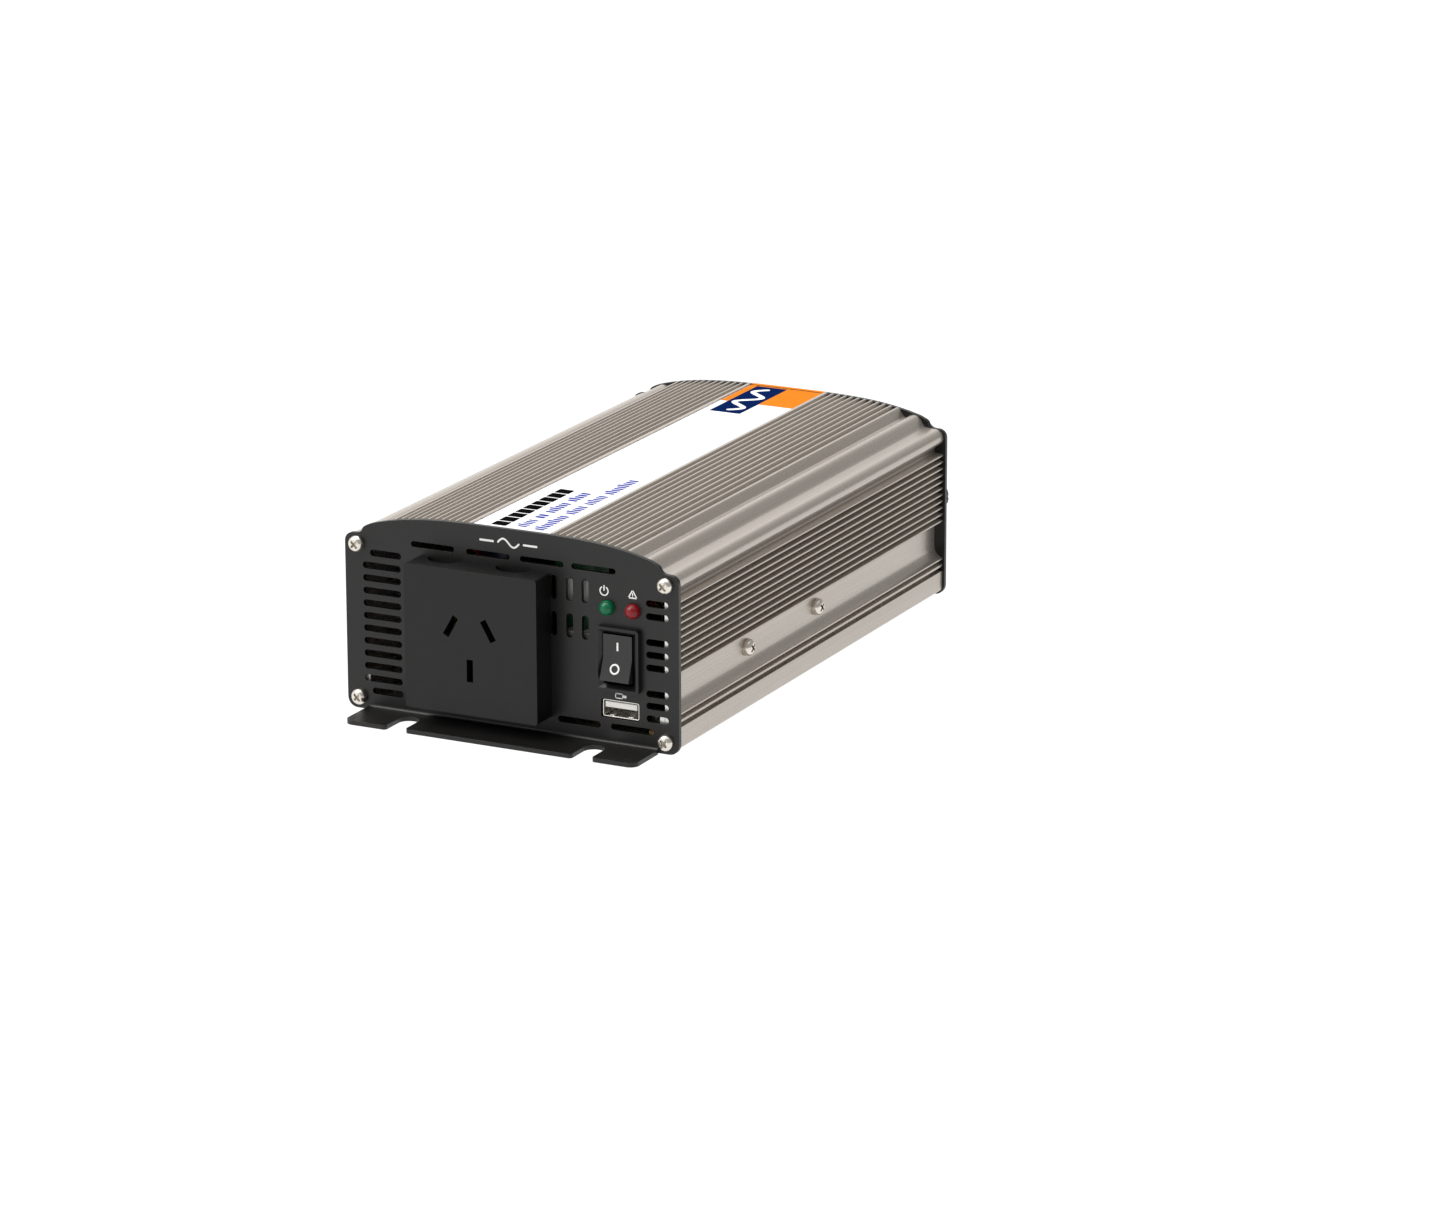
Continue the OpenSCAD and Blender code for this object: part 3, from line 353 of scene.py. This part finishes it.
# ------------------------------------------------------------------ softened edges on the CAD nodes
BEVELS = {  # millimetres, segments
    "front_panel": (0.22, 2), "rear_panel": (0.22, 2), "outlet_body": (0.3, 3), "outlet_back": (0.2, 2),
    "switch_bezel": (0.22, 3), "switch_rocker": (0.3, 3), "base_tray": (0.12, 2), "finned_cover": (0.09, 2),
    "usb_shell": (0.08, 2), "usb_tongue": (0.1, 2), "front_panel_screws": (0.08, 2), "rear_panel_screws": (0.08, 2),
    "side_screws": (0.08, 2), "positive_knob": (0.22, 2), "negative_knob": (0.22, 2), "positive_collar": (0.25, 2),
    "negative_collar": (0.25, 2), "positive_washer": (0.15, 2), "negative_washer": (0.15, 2), "earth_nuts": (0.15, 2),
    "fan_frame": (0.3, 2), "fan_rotor": (0.3, 2), "fan_screws": (0.08, 2), "transformer_cores": (0.3, 2),
    "white_connectors": (0.15, 2), "blade_fuses": (0.25, 2), "stud_nuts": (0.2, 2),
}
for n, o in nodes.items():
    me = o.data
    if me.attributes.get("custom_normal"):
        me.attributes.remove(me.attributes["custom_normal"])
    me.polygons.foreach_set("use_smooth", [True] * len(me.polygons))
    weld = o.modifiers.new("weld", "WELD")
    weld.merge_threshold = 2e-6
    flat = o.modifiers.new("planar", "DECIMATE")
    flat.decimate_type = "DISSOLVE"
    flat.angle_limit = math.radians(0.4)
    if n in BEVELS:
        b = o.modifiers.new("bevel", "BEVEL")
        b.width, b.segments = BEVELS[n][0] * MM, BEVELS[n][1]
        b.limit_method = "ANGLE"
        b.angle_limit = math.radians(32)
        b.use_clamp_overlap = True
        b.harden_normals = False
        b.miter_outer = "MITER_ARC"
    else:
        s = o.modifiers.new("split", "EDGE_SPLIT")
        s.split_angle = math.radians(32)
        s.use_edge_sharp = False
    w = o.modifiers.new("normals", "WEIGHTED_NORMAL")
    w.keep_sharp = True
    w.weight = 60


# ------------------------------------------------------------------ thin printed shapes
def shape(name, faces2d, where, thick, material, body):
    """Thin closed pieces. faces2d are outlines of (u, v); where(u, v, h) gives the point h above the surface."""
    bm = bmesh.new()
    for outline in faces2d:
        low = [bm.verts.new(where(u, v, 0.0)) for u, v in outline]
        high = [bm.verts.new(where(u, v, thick)) for u, v in outline]
        bm.faces.new(high)
        bm.faces.new(low[::-1])
        k = len(outline)
        for i in range(k):
            bm.faces.new((low[i], low[(i + 1) % k], high[(i + 1) % k], high[i]))
    bmesh.ops.recalc_face_normals(bm, faces=bm.faces)
    me = bpy.data.meshes.new(name)
    bm.to_mesh(me)
    bm.free()
    o = bpy.data.objects.new(name, me)
    scene.collection.objects.link(o)
    me.materials.append(material.m)
    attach(o, body)
    return o


def band(points, width, closed=False):
    """The outline of a line of constant width, with round ends, as one polygon, or a ring of quads if it is closed."""
    k = len(points)
    left, right_ = [], []
    for i, (u, v) in enumerate(points):
        if closed:
            a, b = points[i - 1], points[(i + 1) % k]
        else:
            a, b = points[max(0, i - 1)], points[min(k - 1, i + 1)]
        du, dv = b[0] - a[0], b[1] - a[1]
        n = math.hypot(du, dv) or 1.0
        du, dv = du / n * width / 2, dv / n * width / 2
        left.append((u - dv, v + du))
        right_.append((u + dv, v - du))
    if closed:
        return [[left[i], left[(i + 1) % k], right_[(i + 1) % k], right_[i]] for i in range(k)]

    def cap(c, start):
        return [(c[0] + width / 2 * math.cos(start - math.pi * t / 6), c[1] + width / 2 * math.sin(start - math.pi * t / 6)) for t in range(1, 6)]

    def angle(a, b):
        return math.atan2(b[1] - a[1], b[0] - a[0])

    tail = cap(points[-1], angle(points[-2], points[-1]) + math.pi / 2)
    head = cap(points[0], angle(points[1], points[0]) + math.pi / 2)
    return [left + tail + right_[::-1] + head]


def rect(u0, v0, u1, v1, r=0.0, n=4):
    if r <= 0:
        return [[(u0, v0), (u1, v0), (u1, v1), (u0, v1)]]
    out = []
    for cu, cv, s in ((u1 - r, v1 - r, 0), (u0 + r, v1 - r, 90), (u0 + r, v0 + r, 180), (u1 - r, v0 + r, 270)):
        out += [(cu + r * math.cos(math.radians(s + 90 * i / n)), cv + r * math.sin(math.radians(s + 90 * i / n))) for i in range(n + 1)]
    return [out]


def ring(cu, cv, r, width, n=36):
    return band([(cu + r * math.cos(2 * math.pi * i / n), cv + r * math.sin(2 * math.pi * i / n)) for i in range(n)], width, True)


def wave(cu, cv, length, height, width, along=0, periods=1.0, n=40):
    pts = []
    for i in range(n + 1):
        s = length * (i / n - 0.5)
        t = height / 2 * math.sin(2 * math.pi * periods * i / n)
        pts.append((cu + s, cv + t) if along == 0 else (cu + t, cv + s))
    return band(pts, width)


def on_label(u, v, h):
    return Vector((u * MM, FACE_Y + v * MM, label_hi.z - 0.004 * (abs(u) / 50) ** 3.5 + (0.008 + h) * MM))


def on_front(u, v, h):
    return Vector((u * MM, FACE_Y - (0.005 + h) * MM, v * MM))


def on_rear(u, v, h):
    return Vector((u * MM, REAR_Y + (0.005 + h) * MM, v * MM))


def ink(name, colour, rough=0.5):
    return plain(name, colour, rough, 0.0, 0.04, 0.05, 300.0, 0.004, 900.0, spec=0.0)


white_ink = ink("white_ink", (0.80, 0.80, 0.78), 0.5)
orange_ink = ink("orange_ink", (0.64, 0.19, 0.018))
navy_ink = ink("navy_ink", (0.0030, 0.0125, 0.072))
blue_ink = ink("blue_ink", (0.03, 0.04, 0.28))
black_ink = ink("black_ink", (0.004, 0.004, 0.004))

# label: orange field, navy field with a plain wave, and bars where a label has its print


def strip(u0, u1, v0, v1, n=8):
    return [[(u0 + (u1 - u0) * i / n, v0), (u0 + (u1 - u0) * (i + 1) / n, v0), (u0 + (u1 - u0) * (i + 1) / n, v1), (u0 + (u1 - u0) * i / n, v1)] for i in range(n)]


def sheet_on_label(name, u0, u1, v0, v1, h0, h1, material, n=12):
    """A thin rectangle that follows the crown's curve."""
    bm = bmesh.new()
    rows = []
    for h in (h0, h1):
        for v in (v0, v1):
            rows.append([bm.verts.new(on_label(u0 + (u1 - u0) * i / n, v, h)) for i in range(n + 1)])
    a, b, c, d = rows
    for i in range(n):
        bm.faces.new((c[i], c[i + 1], d[i + 1], d[i]))
        bm.faces.new((a[i], b[i], b[i + 1], a[i + 1]))
        bm.faces.new((a[i], a[i + 1], c[i + 1], c[i]))
        bm.faces.new((b[i], d[i], d[i + 1], b[i + 1]))
    bm.faces.new((a[0], c[0], d[0], b[0]))
    bm.faces.new((a[n], b[n], d[n], c[n]))
    bmesh.ops.recalc_face_normals(bm, faces=bm.faces)
    me = bpy.data.meshes.new(name)
    bm.to_mesh(me)
    bm.free()
    o = bpy.data.objects.new(name, me)
    scene.collection.objects.link(o)
    me.materials.append(material.m)
    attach(o, "root")
    return o


LABEL_END = (label_hi.y - FACE_Y) / MM - 0.25
sheet_on_label("label_orange_field", -14.1, 14.1, 180.4, LABEL_END, 0.0, 0.02, orange_ink)
# the label laps over the top edge of the terminal panel
sheet_on_label("label_orange_lap", -14.1, 14.1, LABEL_END, (REAR_Y - FACE_Y) / MM - 0.05, 0.215, 0.24, orange_ink)
sheet_on_label("label_navy_field", -11.3, 0.5, 165.9, LABEL_END - 0.9, 0.02, 0.04, navy_ink, 6)


def above_navy(u, v, h):
    return on_label(u, v, h + 0.045)


shape("label_wave", wave(-5.4, 184.6, 30.0, 6.6, 2.1, along=1, periods=2.0, n=64), above_navy, 0.02, white_ink, "root")
heading, v = [], 3.6
for w in (4.6, 4.9, 4.6, 4.4, 4.8, 4.4, 4.6, 4.9, 4.7):
    heading += rect(-8.7, v, -3.3, v + w, 0.5)
    v += w + 0.75
shape("label_heading_blocks", heading, on_label, 0.02, black_ink, "root")
lines = []
for u, start, words in ((-0.9, 5.2, (9.5, 5.0, 13.0, 11.5)), (5.9, 4.2, (19.0, 10.5, 12.0, 19.5))):
    v = start
    for w in words:
        k = max(2, round(w / 2.1))
        for i in range(k):
            a = v + w * i / k
            tall = 3.4 if (i * 7 + k) % 4 else 4.4
            lines += rect(u + (4.4 - tall), a, u + 4.4, a + w / k - 0.75, 0.3)
        v += w + 2.3
shape("label_line_blocks", lines, on_label, 0.02, blue_ink, "root")

# outlet panel: plain symbols
led_g, led_r, usb_c = centre("power_led"), centre("fault_led"), centre("usb_shell")
gx, rx, lz = led_g.x / MM, led_r.x / MM, led_g.z / MM
marks = wave(-0.3, 63.8, 7.6, 2.6, 0.62)
marks += rect(-10.9, 63.45, -5.6, 64.15, 0.3) + rect(5.0, 63.45, 10.3, 64.15, 0.3)
mz = lz + 5.4
arc_pts = [(gx - 1.2 + 1.45 * math.cos(math.radians(a)), mz + 1.45 * math.sin(math.radians(a))) for a in range(125, 416, 10)]
marks += band(arc_pts, 0.42) + band([(gx - 1.2, mz + 0.2), (gx - 1.2, mz + 1.75)], 0.42)
tri = [(rx - 0.2 + 1.75 * math.cos(math.radians(a)), mz - 0.25 + 1.75 * math.sin(math.radians(a))) for a in (90, 210, 330)]
for i in range(3):
    marks += band([tri[i], tri[(i + 1) % 3]], 0.4)
marks += band([(rx - 0.2, mz + 0.45), (rx - 0.2, mz - 0.25)], 0.36)
marks += rect(rx - 0.38, mz - 0.88, rx - 0.02, mz - 0.58, 0.1)
ux, uz = usb_c.x / MM, usb_c.z / MM + 4.75
for a, b in (((ux - 1.6, uz - 0.75), (ux + 1.0, uz - 0.75)), ((ux + 1.0, uz - 0.75), (ux + 1.0, uz + 0.75)), ((ux + 1.0, uz + 0.75), (ux - 1.6, uz + 0.75)), ((ux - 1.6, uz + 0.75), (ux - 1.6, uz - 0.75))):
    marks += band([a, b], 0.32)
marks += rect(ux + 1.2, uz - 0.45, ux + 2.3, uz + 0.45, 0.1)
shape("front_symbols", marks, on_front, 0.02, white_ink, "root")

# rocker marks, on the two faces of the rocker
tilt = math.radians(10)


def on_rocker(side):
    """side 1 is the upper face, -1 the lower one; u runs across and v out from the pivot, in millimetres."""
    t = math.tan(tilt)

    def where(u, v, h):
        n = Vector((-1.0, -side * t)).normalized()
        y, z = -3.4 - t * v + n.x * (h + 0.004), side * v + n.y * (h + 0.004)
        c, s = math.cos(-tilt), math.sin(-tilt)
        return PIVOT + Vector((u, y * c - z * s, y * s + z * c)) * MM

    return where


shape("rocker_mark_on", rect(-0.32, 2.4, 0.32, 5.2, 0.15), on_rocker(1), 0.02, white_ink, "rocker")
shape("rocker_mark_off", ring(-0.45, 3.55, 1.45, 0.55), on_rocker(-1), 0.02, white_ink, "rocker")

# terminal panel: polarity and earth symbols
for name, node, plus in (("rear_plus", "positive_collar", True), ("rear_minus", "negative_collar", False)):
    c = centre(node)
    u, v = c.x / MM, c.z / MM + 12.2
    s = rect(u - 2.0, v - 0.4, u + 2.0, v + 0.4)
    if plus:
        s += rect(u - 0.4, v + 0.4, u + 0.4, v + 2.0) + rect(u - 0.4, v - 2.0, u + 0.4, v - 0.4)
    shape(name, s, on_rear, 0.02, white_ink, "root")
c = centre("earth_nuts")
u, v = c.x / MM + 8.5, c.z / MM
shape("rear_earth", band([(u, v + 2.2), (u, v + 0.2)], 0.5) + rect(u - 2.0, v - 0.1, u + 2.0, v + 0.35) + rect(u - 1.3, v - 1.0, u + 1.3, v - 0.55) + rect(u - 0.6, v - 1.9, u + 0.6, v - 1.45), on_rear, 0.02, white_ink, "root")

# lead frames seen through the lamps
lead_metal = plain("lead_frame", (0.85, 0.84, 0.80), 0.25, 1.0, 0.05)
for name, node in (("power_lead_frame", "power_led"), ("fault_lead_frame", "fault_led")):
    lo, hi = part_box(node)
    c = (lo + hi) / 2
    bm = bmesh.new()
    for dx, wide, depth in ((-0.8, 0.55, 1.9), (0.75, 0.42, 2.3)):
        x0, y0, z0 = c.x + dx * MM, lo.y + depth * MM, c.z - 0.1 * MM
        prof = [(0.0, wide), (1.0, wide), (1.5, wide * 0.55), (5.0, wide * 0.5)]
        loops = []
        for dy, r in prof:
            loops.append([bm.verts.new((x0 + r * MM * math.cos(2 * math.pi * i / 10), y0 + dy * MM, z0 + r * MM * math.sin(2 * math.pi * i / 10))) for i in range(10)])
        for a, b in zip(loops, loops[1:]):
            for i in range(10):
                bm.faces.new((a[i], a[(i + 1) % 10], b[(i + 1) % 10], b[i]))
        bm.faces.new(loops[0][::-1])
        bm.faces.new(loops[-1])
    bmesh.ops.recalc_face_normals(bm, faces=bm.faces)
    me = bpy.data.meshes.new(name)
    bm.to_mesh(me)
    bm.free()
    o = bpy.data.objects.new(name, me)
    scene.collection.objects.link(o)
    me.materials.append(lead_metal.m)
    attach(o, "root")

# ------------------------------------------------------------------ floor, light
fm = Mat("studio_floor", 0.75, 0.0, 0.1)
fm.colour(fm.mix(fm.spread(fm.noise(3.0), 0.0, 1.0), (0.055, 0.055, 0.055), (0.065, 0.065, 0.065)))
fm.b.inputs["Emission Color"].default_value = (1.0, 1.0, 1.0, 1.0)
fm.b.inputs["Emission Strength"].default_value = 1.0
bm = bmesh.new()
bmesh.ops.create_grid(bm, x_segments=2, y_segments=2, size=9.0)
me = bpy.data.meshes.new("studio_floor")
bm.to_mesh(me)
bm.free()
floor = bpy.data.objects.new("studio_floor", me)
scene.collection.objects.link(floor)
me.materials.append(fm.m)

# a bright wall on the left, a dim one on the right and a bright ceiling
world = bpy.data.worlds.new("studio")
scene.world = world
world.use_nodes = True
wt = world.node_tree
wt.nodes.clear()
wo = wt.nodes.new("ShaderNodeOutputWorld")
bg = wt.nodes.new("ShaderNodeBackground")
tc = wt.nodes.new("ShaderNodeTexCoord")
sep = wt.nodes.new("ShaderNodeSeparateXYZ")
wt.links.new(tc.outputs["Generated"], sep.inputs[0])


def ramp(axis, lo, hi, a, b):
    n = wt.nodes.new("ShaderNodeMapRange")
    n.interpolation_type = "SMOOTHSTEP"
    wt.links.new(sep.outputs[axis], n.inputs["Value"])
    for i, v in ((1, lo), (2, hi), (3, a), (4, b)):
        n.inputs[i].default_value = v
    return n.outputs["Result"]


total = wt.nodes.new("ShaderNodeMath")
total.operation = "ADD"
wt.links.new(ramp("X", -0.42, 0.26, 1.05, 0.38), total.inputs[0])
wt.links.new(ramp("Z", 0.72, 0.93, 0.0, 0.85), total.inputs[1])
wt.links.new(total.outputs[0], bg.inputs["Strength"])
bg.inputs["Color"].default_value = (1.0, 1.0, 1.0, 1.0)
wt.links.new(bg.outputs[0], wo.inputs["Surface"])


def area(name, place, target, size, power, colour=(1, 1, 1)):
    d = bpy.data.lights.new(name, "AREA")
    d.shape = "RECTANGLE"
    d.size, d.size_y = size
    d.energy = power
    d.color = colour
    o = bpy.data.objects.new(name, d)
    scene.collection.objects.link(o)
    o.location = place
    o.rotation_mode = "QUATERNION"
    o.rotation_quaternion = (Vector(place) - Vector(target)).to_track_quat("Z", "Y")
    return o


area("key", (-0.9, -1.0, 1.5), (0, 0, 0.03), (1.2, 1.2), 20.0, (1.0, 0.985, 0.96))
area("top", (-0.3, 0.2, 1.9), (0, 0, 0.03), (1.4, 1.4), 15.0)
